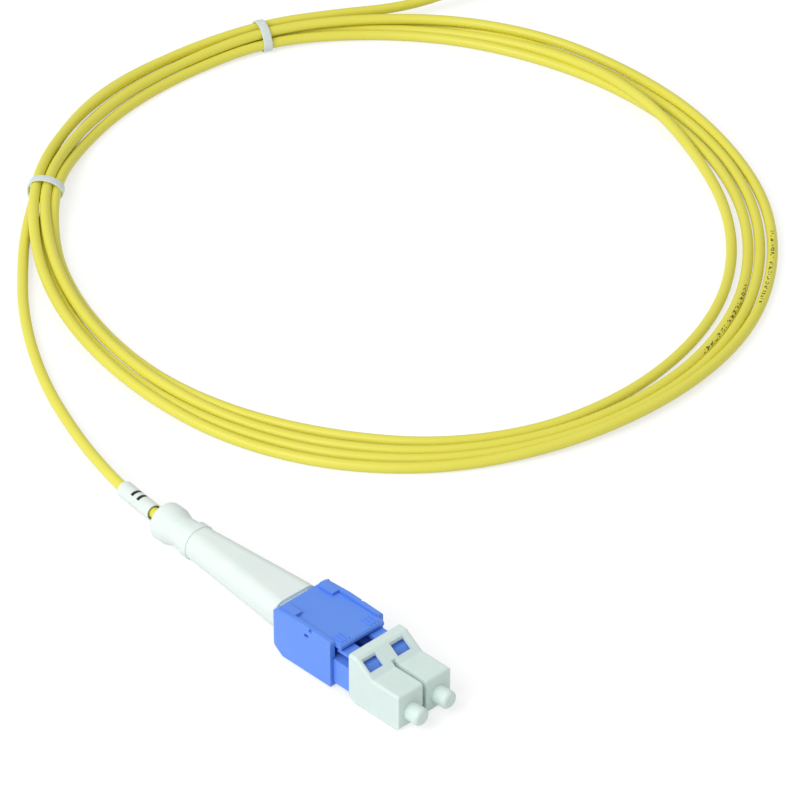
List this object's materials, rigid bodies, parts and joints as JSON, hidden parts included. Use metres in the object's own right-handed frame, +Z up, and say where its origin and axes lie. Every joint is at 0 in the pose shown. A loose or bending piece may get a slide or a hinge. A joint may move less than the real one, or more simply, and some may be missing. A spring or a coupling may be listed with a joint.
{
  "type": "fibre optic patch cord",
  "caption": "Coiled yellow fibre patch cord with a push-pull duplex plug on each end, white boots and dust caps, tied for storage.",
  "frame": {"origin": "under the middle of connector A's two plug faces, on the surface that the cord lies on", "axes": "+X along connector A's plugs towards their tips, +Y across its ferrules towards the coil, +Z up"},
  "size_m": [0.1836, 0.2508, 0.0095],
  "materials": {
    "cap_white": "smooth white moulded plastic",
    "plug_blue": "smooth blue moulded plastic",
    "boot_white": "soft white moulded elastomer, satin",
    "marker_white": "thin white sleeve, satin",
    "jacket_yellow": "yellow cable jacket, satin",
    "tie_clear": "milky plastic tie",
    "ferrule_ceramic": "polished white ceramic",
    "turned_metal": "turned and plated metal",
    "spring_steel": "bright spring wire",
    "buffer_white": "white fibre buffer"
  },
  "bodies": {
    "patch_cord": {"housing_a": "plug_blue", "back_post_a": "turned_metal", "crimp_sleeve_a": "turned_metal", "cable_lead_a": "jacket_yellow", "marker_sleeve_a": "marker_white", "plug_frame_a_left": "plug_blue", "spring_a_left": "spring_steel", "rear_stop_a_left": "turned_metal", "buffered_fibre_a_left": "buffer_white", "plug_frame_a_right": "plug_blue", "spring_a_right": "spring_steel", "rear_stop_a_right": "turned_metal", "buffered_fibre_a_right": "buffer_white", "housing_b": "plug_blue", "back_post_b": "turned_metal", "crimp_sleeve_b": "turned_metal", "cable_lead_b": "jacket_yellow", "marker_sleeve_b": "marker_white", "plug_frame_b_left": "plug_blue", "spring_b_left": "spring_steel", "rear_stop_b_left": "turned_metal", "buffered_fibre_b_left": "buffer_white", "plug_frame_b_right": "plug_blue", "spring_b_right": "spring_steel", "rear_stop_b_right": "turned_metal", "buffered_fibre_b_right": "buffer_white", "cable_coil": "jacket_yellow", "tie_left": "tie_clear", "tie_top": "tie_clear"},
    "dust_cap_a": {"dust_cap_a": "cap_white"},
    "pull_boot_a": {"boot_a": "boot_white", "pull_plate_a": "plug_blue"},
    "sprung_ferrule_a_left": {"ferrule_a_left": "ferrule_ceramic", "ferrule_flange_a_left": "turned_metal"},
    "sprung_ferrule_a_right": {"ferrule_a_right": "ferrule_ceramic", "ferrule_flange_a_right": "turned_metal"},
    "dust_cap_b": {"dust_cap_b": "cap_white"},
    "pull_boot_b": {"boot_b": "boot_white", "pull_plate_b": "plug_blue"},
    "sprung_ferrule_b_left": {"ferrule_b_left": "ferrule_ceramic", "ferrule_flange_b_left": "turned_metal"},
    "sprung_ferrule_b_right": {"ferrule_b_right": "ferrule_ceramic", "ferrule_flange_b_right": "turned_metal"}
  },
  "joints": [
    {"name": "dust_cap_a_off", "type": "slide", "parent": "patch_cord", "child": "dust_cap_a", "axis": [1, 0, 0], "range_m": [0, 0.02]},
    {"name": "boot_a_pull", "type": "slide", "parent": "patch_cord", "child": "pull_boot_a", "axis": [-1, 0, 0], "range_m": [0, 0.002], "stiffness_N_per_m": 150},
    {"name": "ferrule_a_left_press", "type": "slide", "parent": "patch_cord", "child": "sprung_ferrule_a_left", "axis": [-1, 0, 0], "range_m": [0, 0.0006], "stiffness_N_per_m": 1000, "deforming": ["spring_a_left"]},
    {"name": "ferrule_a_right_press", "type": "slide", "parent": "patch_cord", "child": "sprung_ferrule_a_right", "axis": [-1, 0, 0], "range_m": [0, 0.0006], "stiffness_N_per_m": 1000, "deforming": ["spring_a_right"]},
    {"name": "dust_cap_b_off", "type": "slide", "parent": "patch_cord", "child": "dust_cap_b", "axis": [0, 1, 0], "range_m": [0, 0.02]},
    {"name": "boot_b_pull", "type": "slide", "parent": "patch_cord", "child": "pull_boot_b", "axis": [0, -1, 0], "range_m": [0, 0.002], "stiffness_N_per_m": 150},
    {"name": "ferrule_b_left_press", "type": "slide", "parent": "patch_cord", "child": "sprung_ferrule_b_left", "axis": [0, -1, 0], "range_m": [0, 0.0006], "stiffness_N_per_m": 1000, "deforming": ["spring_b_left"]},
    {"name": "ferrule_b_right_press", "type": "slide", "parent": "patch_cord", "child": "sprung_ferrule_b_right", "axis": [0, -1, 0], "range_m": [0, 0.0006], "stiffness_N_per_m": 1000, "deforming": ["spring_b_right"]}
  ]
}
